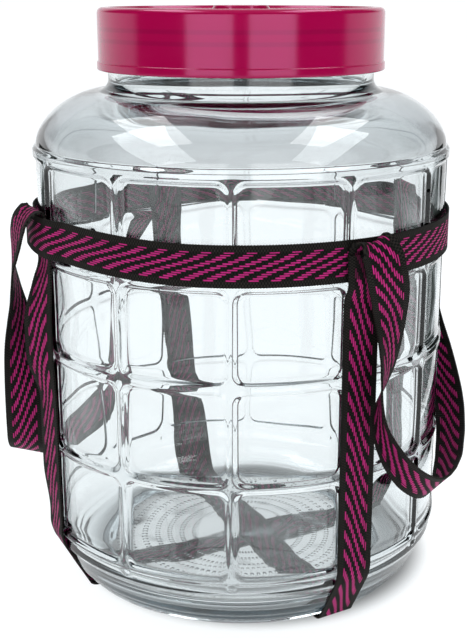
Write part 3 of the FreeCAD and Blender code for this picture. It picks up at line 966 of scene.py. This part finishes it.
@dataclass
class Strap:
    """One flat strip of webbing, laid along a row of middle points."""

    name: str
    node: str
    harness: Harness
    lean: Lean
    material: Material
    step: float = 0.0004
    columns: int = 12

    def route(self) -> tuple[list[Vector], list[Vector]]:
        """Middle points and the lines across them; each kind of strap gives its own."""
        raise NotImplementedError

    def resample(self) -> tuple[np.ndarray, np.ndarray, np.ndarray]:
        """Even, smooth samples along the route.

        Returns:
            Middle points, unit vectors along the strap, and unit vectors across it.
        """
        middles, across = self.route()
        points = np.array([list(point) for point in middles])
        sides = np.array([list(side) for side in across])
        steps = np.linalg.norm(np.diff(points, axis=0), axis=1)
        at = np.concatenate(([0.0], np.cumsum(steps)))
        count = int(round(at[-1] / self.step))
        wanted = np.linspace(0.0, at[-1], count + 1)
        points = self.curve_through(at, points, wanted)
        sides = self.curve_through(at, sides, wanted)
        along = np.gradient(points, axis=0)
        along /= np.linalg.norm(along, axis=1, keepdims=True)
        sides -= along * np.sum(along * sides, axis=1, keepdims=True)
        sides /= np.linalg.norm(sides, axis=1, keepdims=True)
        return points, along, sides

    def curve_through(self, at: np.ndarray, values: np.ndarray, wanted: np.ndarray) -> np.ndarray:
        """Cubic Hermite curve through values.

        Args:
            at: length along the strap of each value.
            values: one row for each.
            wanted: lengths at which the curve is read.

        Returns:
            One row for each wanted length.
        """
        last = len(at) - 1
        before = np.maximum(np.arange(last + 1) - 1, 0)
        after = np.minimum(np.arange(last + 1) + 1, last)
        slopes = (values[after] - values[before]) / (at[after] - at[before])[:, None]
        piece = np.clip(np.searchsorted(at, wanted, side="right") - 1, 0, last - 1)
        span = (at[piece + 1] - at[piece])[:, None]
        t = (wanted[:, None] - at[piece][:, None]) / span
        return (values[piece] * (1.0 + 2.0 * t) * (1.0 - t) ** 2
                + slopes[piece] * span * t * (1.0 - t) ** 2
                + values[piece + 1] * t * t * (3.0 - 2.0 * t)
                + slopes[piece + 1] * span * t * t * (t - 1.0))

    def build(self) -> Piece:
        """Weave the strip: a flat grid, laid along its route and given its thickness.

        Returns:
            The strap's object.
        """
        points, along, sides = self.resample()
        count = len(points) - 1
        put_down()
        bpy.ops.mesh.primitive_grid_add(x_subdivisions=count, y_subdivisions=self.columns,
                                        size=2.0, location=(0.0, 0.0, 0.0))
        piece = bpy.context.object
        piece.name = self.name
        flat = read_points(piece)
        station = np.rint((flat[:, 0] + 1.0) * 0.5 * count).astype(int)
        share = flat[:, 1]
        # The selvedge: the cross ribs stand a little proud of the edges, one for each pick.
        pick = self.harness.weave.pick * 0.001
        length = station * self.step
        notch = 0.00013 * np.sin(2.0 * math.pi * length / pick)
        half = 0.5 * self.harness.wide
        at_edge = np.abs(share) > 0.99
        offset = share * (half - 0.00015) + np.where(at_edge, np.sign(share) * notch, 0.0)
        write_points(piece, points[station] + sides[station] * offset[:, None])
        uv = piece.data.uv_layers.active or piece.data.uv_layers.new()
        uv.name = self.harness.weave.uv_name
        corner = np.empty(len(piece.data.loops), int)
        piece.data.loops.foreach_get("vertex_index", corner)
        laid = 1000.0 * np.stack((length[corner], self.lean.value * offset[corner]), axis=1)
        uv.data.foreach_set("uv", laid.ravel())
        thickness = piece.modifiers.new("thickness", "SOLIDIFY")
        thickness.thickness = self.harness.thick - 0.0001
        thickness.offset = 0.0
        thickness.use_even_offset = False
        apply_all(piece)
        with editing(piece):
            bpy.ops.mesh.normals_make_consistent(inside=False)
        shade(piece, 50.0)
        return hand_over(piece, self.node, self.material)


@dataclass
class Belt(Strap):
    """The strip round the body, from its free end at the left once round to its tucked end."""

    tail: float = -80.5
    tuck: float = -72.5
    bulge: float = 0.0035
    left_rise: float = 0.0026
    tail_lift: float = 0.0006
    tail_from: float = -73.0
    over_half: float = 6.6
    over_ramp: float = 7.0
    rise_at: float = -66.0
    rise_half: float = 12.0
    rise_ramp: float = 45.0
    stations: int = 235

    def radius(self, azimuth: float) -> float:
        """It hugs the ribs and stands out over a strap and a handle's sewn end."""
        lift = 0.0
        for middle in (self.harness.back_right, self.harness.back_left):
            lift = max(lift, bump(azimuth, middle, self.over_half, self.over_ramp))
        if azimuth < 0.0:
            reach = self.harness.front_left + self.over_half + self.over_ramp
            lift = max(lift, smooth((reach - azimuth) / self.over_ramp))
        tail = self.tail_lift * smooth((self.tail_from - azimuth) / (self.tail_from - self.tail))
        return self.harness.layer(1) + self.bulge * lift + tail

    def route(self) -> tuple[list[Vector], list[Vector]]:
        """Once round the body, drawn up a little at the left."""
        middles, across = [], []
        for i in range(self.stations + 1):
            azimuth = self.tail + (360.0 + self.tuck - self.tail) * i / self.stations
            nearest = min(abs(azimuth - self.rise_at), abs(azimuth - 360.0 - self.rise_at))
            height = (self.harness.belt_height
                      + self.left_rise * bump(nearest, 0.0, self.rise_half, self.rise_ramp))
            middles.append(polar(azimuth, self.radius(azimuth), height))
            across.append(Vector((0.0, 0.0, 1.0)))
        return middles, across


@dataclass
class BaseStrap(Strap):
    """A long strap: down one side, flat under the base and up the other side."""

    front: float = 0.0
    front_radius: float = 0.0
    front_top: float = 0.2164
    front_slack: float = 0.0
    front_turn: float = 0.0
    back: float = 0.0
    back_lean: float = 0.0
    cross_lift: float = 0.0
    cone_top: Pair = (0.1150, 0.0285)
    cone_foot: Pair = (0.1020, 0.0042)
    run_foot: float = 0.044
    run_step: float = 0.004
    behind_half: float = 0.0124
    behind_ramp: float = 0.009
    loose_share: float = 0.27
    billow_height: float = 0.150

    def bow(self, height: float) -> float:
        """How far the slack strap gives way at a height, from 0 to 1."""
        loose = (smooth((self.harness.belt_height - 0.013 - height) / 0.012)
                 * smooth((height - self.run_foot) / 0.030))
        billow = bump(height, self.billow_height, 0.008, 0.030)
        return self.loose_share * loose + (1.0 - self.loose_share) * billow

    def run_down(self, top: float, top_radius: float, azimuth: float, lean: float,
                 slack: float) -> list[Vector]:
        """Middle line of one upright run.

        Args:
            top: height of its upper end.
            top_radius: radius at the belt.
            azimuth: where it starts.
            lean: degrees that it turns on its way down.
            slack: how far it bows off the glass.

        Returns:
            Points from its top to the rim of the base.
        """
        near = self.harness.layer(1)
        thick = self.harness.thick
        places = []
        height = top
        while height > self.run_foot:
            radius = near + (top_radius - near) * bump(height, self.harness.belt_height,
                                                       self.behind_half, self.behind_ramp)
            radius += slack * self.bow(height)
            places.append((radius, height))
            height -= self.run_step
        off = thick / 2.0 + self.harness.layer_gap
        (top_r, top_z), (foot_r, foot_z) = self.cone_top, self.cone_foot
        slope = math.atan2(top_z - foot_z, top_r - foot_r)
        out = (off * math.sin(slope), -off * math.cos(slope))
        places += [(near + 0.0001, 0.0400), (near + 0.0001, 0.0364), (near - 0.0006, 0.0326)]
        for i in range(7):
            part = i / 6.0
            places.append((top_r + (foot_r - top_r) * part + out[0],
                           top_z + (foot_z - top_z) * part + out[1]))
        places += [(0.1018, 0.0021), (0.1004, 0.00115), (0.0986, thick / 2.0 + 0.00008)]
        places += [(0.0964 - 0.0026 * i, thick / 2.0) for i in range(3)]
        tall = self.harness.strap_top
        return [polar(azimuth + lean * smooth((tall - height) / tall), radius, height)
                for radius, height in places]

    def route(self) -> tuple[list[Vector], list[Vector]]:
        """Both runs and the stretch under the base."""
        front = self.run_down(self.front_top, self.front_radius, self.front, 0.0,
                              self.front_slack)
        back = self.run_down(self.harness.strap_top, self.harness.layer(1), self.back,
                             self.back_lean, 0.0)
        start, end = front[-1], back[-1]
        under = []
        for i in range(1, 24):
            part = i / 24.0
            point = start + (end - start) * part
            lift = self.cross_lift * bump(part, 0.5, 0.07, 0.12)
            under.append(Vector((point.x, point.y, self.harness.thick / 2.0 + lift)))
        middles = front + under + list(reversed(back))
        level = Vector((0.0, 0.0, 1.0)).cross(end - start).normalized()
        across = []
        for i, point in enumerate(middles):
            flat = Vector((point.x, point.y, 0.0))
            side = Vector((0.0, 0.0, 1.0)).cross(flat).normalized()
            if side.dot(level) < 0.0:
                side = -side
            blend = smooth((flat.length - 0.060) / 0.038)
            line = (level * (1.0 - blend) + side * blend).normalized()
            if i < len(front):
                turn = math.radians(self.front_turn * self.bow(point.z))
                line = Quaternion((0.0, 0.0, 1.0), turn) @ line
            across.append(line)
        return middles, across


@dataclass
class LoopHandle(Strap):
    """A hanging loop.

    Each station is an azimuth, a distance from the axis and a height in millimetres, then the
    heading and the rise of the line across the webbing, in degrees.
    """

    stations: tuple[tuple[float, float, float, float, float], ...] = ()

    def route(self) -> tuple[list[Vector], list[Vector]]:
        """The stations as points and lines across them."""
        middles = [polar(s[0], s[1] * 0.001, s[2] * 0.001) for s in self.stations]
        across = [heading(s[3], s[4]) for s in self.stations]
        return middles, across


RIGHT_LOOP = (
    (31.2, 119.4, 199.0, 121.0, 0.0), (31.2, 119.4, 206.0, 121.0, 0.0),
    (31.2, 119.5, 210.6, 121.0, 0.0), (31.3, 120.7, 213.8, 120.0, 0.0),
    (31.7, 122.9, 214.9, 114.0, -1.0), (32.5, 125.3, 213.0, 108.0, -2.0),
    (33.4, 127.6, 207.6, 104.0, -1.0), (34.1, 128.6, 199.6, 104.5, 0.0),
    (36.2, 126.2, 189.0, 112.0, 1.0), (38.2, 122.9, 176.5, 124.0, -3.0),
    (38.4, 122.6, 164.5, 137.0, -10.0), (37.2, 124.1, 153.5, 150.0, -18.0),
    (35.2, 126.3, 143.5, 165.0, -22.0), (33.4, 128.4, 132.5, 181.0, -22.0),
    (33.3, 129.9, 121.0, 192.0, -24.0), (35.1, 131.2, 109.2, 201.0, -30.0),
    (38.2, 133.0, 97.0, 206.0, -38.0), (42.5, 134.4, 86.4, 205.0, -45.0),
    (47.8, 134.4, 78.8, 195.0, -46.0), (53.4, 132.8, 74.8, 187.0, -38.0),
    (59.5, 130.4, 73.8, 186.0, -25.0), (66.0, 128.0, 75.5, 190.0, -14.0),
    (73.0, 126.2, 79.2, 193.0, -8.0), (80.0, 125.5, 85.0, 198.0, -3.0),
    (87.0, 125.4, 93.5, 204.0, 0.0), (94.4, 125.0, 104.5, 210.0, 2.0),
    (101.4, 124.7, 118.0, 214.0, 4.0), (107.6, 124.4, 133.0, 215.0, 5.0),
    (112.4, 124.6, 149.0, 216.0, 5.0), (115.4, 124.6, 165.0, 213.0, 4.0),
    (116.6, 124.6, 181.0, 210.0, 3.0), (116.8, 124.9, 195.5, 208.5, 2.0),
    (116.7, 125.3, 207.5, 207.2, 1.0), (116.2, 125.2, 215.0, 206.7, 0.5),
    (116.3, 123.6, 219.6, 206.5, 0.0), (116.4, 121.2, 219.6, 206.5, 0.0),
    (116.5, 119.5, 215.4, 206.5, 0.0), (116.5, 119.4, 208.5, 206.5, 0.0),
    (116.5, 119.4, 199.0, 206.5, 0.0),
)
LEFT_LOOP = (
    (-64.0, 119.4, 199.0, 26.0, 0.0), (-64.0, 119.4, 207.0, 26.0, 0.0),
    (-64.0, 119.4, 214.5, 26.0, 0.0), (-64.0, 119.6, 219.2, 26.0, 0.0),
    (-64.0, 120.9, 221.7, 26.0, 0.0), (-64.0, 123.2, 222.1, 26.0, -1.0),
    (-64.3, 125.7, 220.9, 25.8, -3.0), (-65.2, 127.9, 218.0, 25.4, -5.0),
    (-67.4, 129.6, 212.2, 24.5, -6.0), (-71.0, 130.4, 204.0, 21.5, -4.0),
    (-74.6, 130.9, 195.0, 16.0, 1.0), (-76.8, 131.2, 185.5, 8.0, 5.0),
    (-77.2, 130.4, 175.5, -1.0, 8.0), (-76.6, 129.4, 165.0, -13.0, 10.0),
    (-75.9, 129.3, 153.5, -28.0, 10.0), (-75.4, 129.6, 140.0, -43.0, 7.0),
    (-76.4, 129.2, 123.3, -57.0, 6.0), (-78.3, 129.0, 106.0, -70.0, 5.0),
    (-80.8, 129.2, 88.0, -81.0, 4.0), (-84.8, 129.8, 72.5, -89.0, 6.0),
    (-91.0, 130.4, 62.5, -94.0, 9.0), (-98.0, 130.7, 57.4, -97.0, 15.0),
    (-105.0, 130.5, 55.2, -99.0, 22.0), (-112.0, 130.2, 54.6, -101.0, 29.0),
    (-118.8, 129.9, 56.4, -103.0, 34.0), (-125.2, 129.7, 61.2, -107.0, 35.0),
    (-130.2, 129.6, 69.2, -115.0, 31.0), (-133.8, 129.6, 80.5, -129.0, 21.0),
    (-135.6, 129.6, 94.0, -147.0, 7.0), (-136.6, 129.8, 108.5, -163.0, -5.0),
    (-137.6, 130.4, 124.0, -174.0, -12.0), (-139.2, 131.2, 140.0, -182.0, -14.0),
    (-141.6, 131.9, 156.5, -190.0, -13.0), (-144.8, 132.0, 173.5, -201.0, -10.0),
    (-148.4, 131.0, 190.0, -217.0, -6.0), (-151.6, 129.2, 204.0, -232.0, -3.0),
    (-153.2, 127.4, 213.5, -241.0, -1.0), (-153.8, 125.0, 218.8, -243.5, 0.0),
    (-153.9, 122.8, 220.2, -244.0, 0.0), (-154.0, 120.6, 218.6, -244.0, 0.0),
    (-154.0, 119.5, 214.6, -244.0, 0.0), (-154.0, 119.4, 208.0, -244.0, 0.0),
    (-154.0, 119.4, 199.0, -244.0, 0.0),
)


@dataclass
class WebbingSet:
    """All five straps of the harness, cut from one roll."""

    harness: Harness = field(default_factory=Harness)

    def build(self) -> list[Piece]:
        """Make every strap.

        Returns:
            The straps' objects.
        """
        roll = self.harness.weave.make()
        layer = self.harness.layer
        straps: list[Strap] = [
            Belt("belt_webbing", "belt", self.harness, Lean.FORWARD, roll),
            BaseStrap("base_webbing_a", "base_strap_a", self.harness, Lean.FORWARD, roll,
                      front=self.harness.front_left, front_radius=layer(1),
                      front_slack=0.0054, front_turn=26.0, back=self.harness.back_right),
            BaseStrap("base_webbing_b", "base_strap_b", self.harness, Lean.BACKWARD, roll,
                      front=self.harness.front_right, front_radius=layer(3) + 0.0002,
                      front_top=0.2096,
                      back=self.harness.back_left, back_lean=-8.0, cross_lift=0.0015),
            LoopHandle("handle_webbing_right", "handle_right", self.harness, Lean.FORWARD, roll,
                       stations=RIGHT_LOOP),
            LoopHandle("handle_webbing_left", "handle_left", self.harness, Lean.FORWARD, roll,
                       stations=LEFT_LOOP),
        ]
        return [strap.build() for strap in straps]


# ---- studio -----------------------------------------------------------------------------
@dataclass
class Softbox:
    """One rectangular studio light."""

    name: str
    place: tuple[float, float, float]
    aim: tuple[float, float, float]
    wide: float
    tall: float
    radiance: float

    def build(self) -> Piece:
        """Hang the light and aim it.

        Returns:
            The light's object.
        """
        put_down()
        bpy.ops.object.light_add(type="AREA", location=self.place)
        lamp = bpy.context.object
        lamp.name = self.name
        lamp.data.shape = "RECTANGLE"
        lamp.data.size = self.wide
        lamp.data.size_y = self.tall
        lamp.data.energy = self.radiance * math.pi * self.wide * self.tall
        toward = Vector(self.aim) - Vector(self.place)
        lamp.rotation_euler = toward.to_track_quat("-Z", "Y").to_euler()
        return lamp


@dataclass
class Studio:
    """Pale floor, a surround with dark gaps between its lights, black cards and the camera.

    Pairs are the limits of an ease: azimuths from the front, or the upward part of a direction.
    """

    floor_radius: float = 60.0
    near_radius: float = 1.6
    camera_place: tuple[float, float, float] = (0.0, -0.6586, 0.3342)
    camera_pitch: float = 15.93
    # The floor's painted shadow: emission dimmed under the jar's footprint and darker still in a
    # ring round it, centred a little to the right and back.
    painted_shadow_inner: float = 0.070
    painted_shadow_outer: float = 0.112
    painted_shadow_soft: float = 0.018
    painted_shadow_place: Pair = (0.008, 0.006)
    # Emission in the painted shadow ring.
    shade: float = 0.20
    painted_footprint_glow: float = 0.75
    glow: float = 0.97
    front_boxes: float = 3.0
    box_inner: Pair = (4.0, 8.0)
    box_outer: Pair = (40.0, 46.0)
    box_top: Pair = (0.24, 0.38)
    beside_from: Pair = (84.0, 94.0)
    beside_top: Pair = (0.10, 0.24)
    behind_from: Pair = (132.0, 148.0)
    behind_level: float = 0.85
    overhead_from: Pair = (0.55, 0.75)
    overhead_level: float = 0.45
    dark_room: float = 0.06
    cool: Colour = (0.80, 0.84, 0.90, 1.0)
    warm: Colour = (0.97, 0.985, 1.0, 1.0)
    focal: float = 43.305
    sensor_tall: float = 24.0
    shift: float = -0.01174

    def floor(self) -> list[Piece]:
        """A pale floor that glows evenly, as a lit sweep does, with a painted shadow round the jar
        and a dimmer painted glow under its footprint.

        Its far part stays out of reflections, where the lights of the room show instead.

        Returns:
            The near disc and the far ring.
        """
        recipe, material = Recipe.material("studio_floor")
        x, y, _ = recipe.split(recipe.add("ShaderNodeTexCoord").outputs["Object"])
        away = recipe.distance(recipe.math("SUBTRACT", x, self.painted_shadow_place[0]),
                               recipe.math("SUBTRACT", y, self.painted_shadow_place[1]))
        inner, outer, soft, shade = self.painted_shadow_inner, self.painted_shadow_outer, self.painted_shadow_soft, self.shade
        # Painted shadow: the emission eases from the dimmed footprint down to the dark ring round
        # the jar, then up to the floor's even glow.
        glow = recipe.most(recipe.ramp(away, inner, inner + soft, self.painted_footprint_glow, shade),
                           recipe.ramp(away, outer - soft, outer, shade, self.glow))
        recipe.surface(Base_Color=(0.20, 0.20, 0.20, 1.0), Roughness=0.9,
                       Specular_IOR_Level=0.0, Emission_Color=(0.955, 0.985, 1.0, 1.0),
                       Emission_Strength=glow)
        put_down()
        bpy.ops.mesh.primitive_circle_add(vertices=96, radius=self.near_radius, fill_type="NGON")
        near = bpy.context.object
        near.name = "studio_floor_near"
        put_down()
        bpy.ops.mesh.primitive_circle_add(vertices=96, radius=self.near_radius, fill_type="NOTHING")
        far = bpy.context.object
        far.name = "studio_floor_far"
        widen = self.floor_radius / self.near_radius
        with editing(far):
            bpy.ops.mesh.select_all(action="SELECT")
            bpy.ops.mesh.extrude_edges_move()
            bpy.ops.transform.resize(value=(widen, widen, 1.0))
        far.visible_glossy = False
        for piece in (near, far):
            piece.data.materials.append(material)
        return [near, far]

    def surround(self) -> None:
        """The room's light by direction: bright boxes in front, pale behind and dark between."""
        world = bpy.data.worlds.new("studio")
        bpy.context.scene.world = world
        recipe = Recipe(world)
        x, y, z = recipe.split(recipe.add("ShaderNodeTexCoord").outputs["Generated"])
        azimuth = recipe.math("ARCTAN2", recipe.math("ABSOLUTE", x), recipe.times(y, -1.0))
        azimuth = recipe.times(azimuth, 180.0 / math.pi)
        beside = recipe.times(recipe.ramp(azimuth, *self.beside_from),
                              recipe.ramp(z, *self.beside_top, 1.0, 0.0))
        behind = recipe.times(recipe.ramp(azimuth, *self.behind_from), self.behind_level)
        boxes = recipe.times(recipe.ramp(azimuth, *self.box_inner),
                             recipe.ramp(azimuth, *self.box_outer, self.front_boxes, 0.0),
                             recipe.ramp(z, *self.box_top, 1.0, 0.0))
        overhead = recipe.ramp(z, *self.overhead_from, 0.0, self.overhead_level)
        level = recipe.most(beside, behind, boxes, overhead)
        seen = recipe.add("ShaderNodeLightPath").outputs["Is Camera Ray"]
        back = recipe.add("ShaderNodeBackground")
        colour = recipe.mix(recipe.most(level, seen), self.cool, self.warm)
        recipe.feed(back.inputs["Color"], colour)
        recipe.feed(back.inputs["Strength"], recipe.most(level, self.dark_room, seen))
        recipe.tree.links.new(back.outputs[0], recipe.output.inputs["Surface"])

    def lights(self) -> list[Piece]:
        """Two softboxes overhead, one at each side."""
        boxes = (
            Softbox("softbox_left", (-0.78, 0.03, 1.66), (0.0, 0.0, 0.25), 1.50, 0.50, 4.6),
            Softbox("softbox_right", (0.78, 0.03, 1.66), (0.0, 0.0, 0.25), 1.50, 0.50, 4.6),
        )
        return [box.build() for box in boxes]

    def flags(self) -> list[Piece]:
        """Two low black cards beside the jar, which give clear glass its dark edges.

        Returns:
            The cards, which show only in the glass and in reflections.
        """
        recipe, material = Recipe.material("black_card")
        recipe.surface(Base_Color=(0.06, 0.07, 0.065, 1.0), Roughness=0.9, Specular_IOR_Level=0.0)
        cards = []
        for side in (-1.0, 1.0):
            put_down()
            bpy.ops.mesh.primitive_plane_add(size=1.0, location=(side * 0.34, 0.24, 0.12),
                                             rotation=(0.0, math.pi / 2.0, 0.0))
            card = bpy.context.object
            card.name = "black_card_left" if side < 0.0 else "black_card_right"
            card.scale = (0.24, 0.20, 1.0)
            card.data.materials.append(material)
            card.visible_camera = False
            card.visible_diffuse = False
            card.visible_shadow = False
            cards.append(card)
        return cards

    def camera(self) -> Piece:
        """The camera at the front, looking a little down."""
        put_down()
        bpy.ops.object.camera_add(location=self.camera_place,
                                  rotation=(math.radians(90.0 - self.camera_pitch), 0.0, 0.0))
        piece = bpy.context.object
        piece.name = "camera"
        piece.data.sensor_fit = "VERTICAL"
        piece.data.sensor_height = self.sensor_tall
        piece.data.lens = self.focal
        piece.data.shift_x = self.shift
        bpy.context.scene.camera = piece
        return piece

    def build(self) -> None:
        """Set up the whole studio."""
        self.camera()
        self.floor()
        self.flags()
        self.surround()
        self.lights()
        bpy.context.scene.view_settings.view_transform = "Standard"
        bpy.context.scene.view_settings.look = "None"


# ---- put together -----------------------------------------------------------------------
def report(piece: Piece) -> None:
    """Log one piece's size."""
    LOG.info("%s: %d faces", piece.name, len(piece.data.polygons))


def main() -> None:
    """Build the studio and every piece, then log each piece's face count."""
    logging.basicConfig(level=logging.INFO, format="%(name)s %(message)s")
    Studio().build()
    pieces = [GlassJar().build(), ScrewLid().build()]
    pieces += WebbingSet().build()
    for piece in pieces:
        report(piece)
    put_down()


if __name__ == "__main__":
    main()
